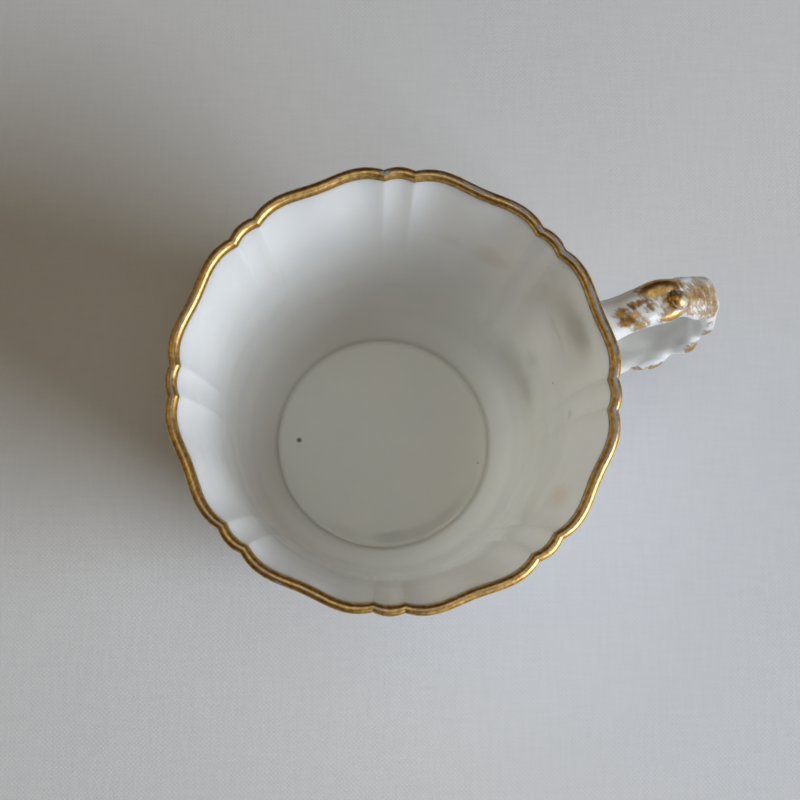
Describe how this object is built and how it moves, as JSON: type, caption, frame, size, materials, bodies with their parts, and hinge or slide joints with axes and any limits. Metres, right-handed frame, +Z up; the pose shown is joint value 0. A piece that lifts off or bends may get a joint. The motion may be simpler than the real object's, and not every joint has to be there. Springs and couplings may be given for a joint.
{
  "type": "shaving mug",
  "caption": "Porcelain shaving mug with a lobed flaring rim, a round foot, a twig-shaped loop handle with buds, and worn gilt edges.",
  "frame": {"origin": "centre of the resting face of the foot ring, on the mug's axis", "axes": "+Z up the mug's axis towards the rim, +X along the handle, away from the mug"},
  "size_m": [0.1248, 0.0952, 0.08],
  "materials": {
    "porcelain": "clear gloss glaze over white porcelain",
    "gilding": "burnished gold film, worn along the crest"
  },
  "bodies": {
    "root": {"body": "porcelain", "foot_ring": "porcelain", "handle": "porcelain", "upper_root_slip": "porcelain", "lower_root_slip": "porcelain", "thumb_knop": "porcelain", "twig_knots": "porcelain", "edge_buds": "porcelain", "rim_gilding": "gilding", "foot_gilding": "gilding"}
  },
  "joints": []
}
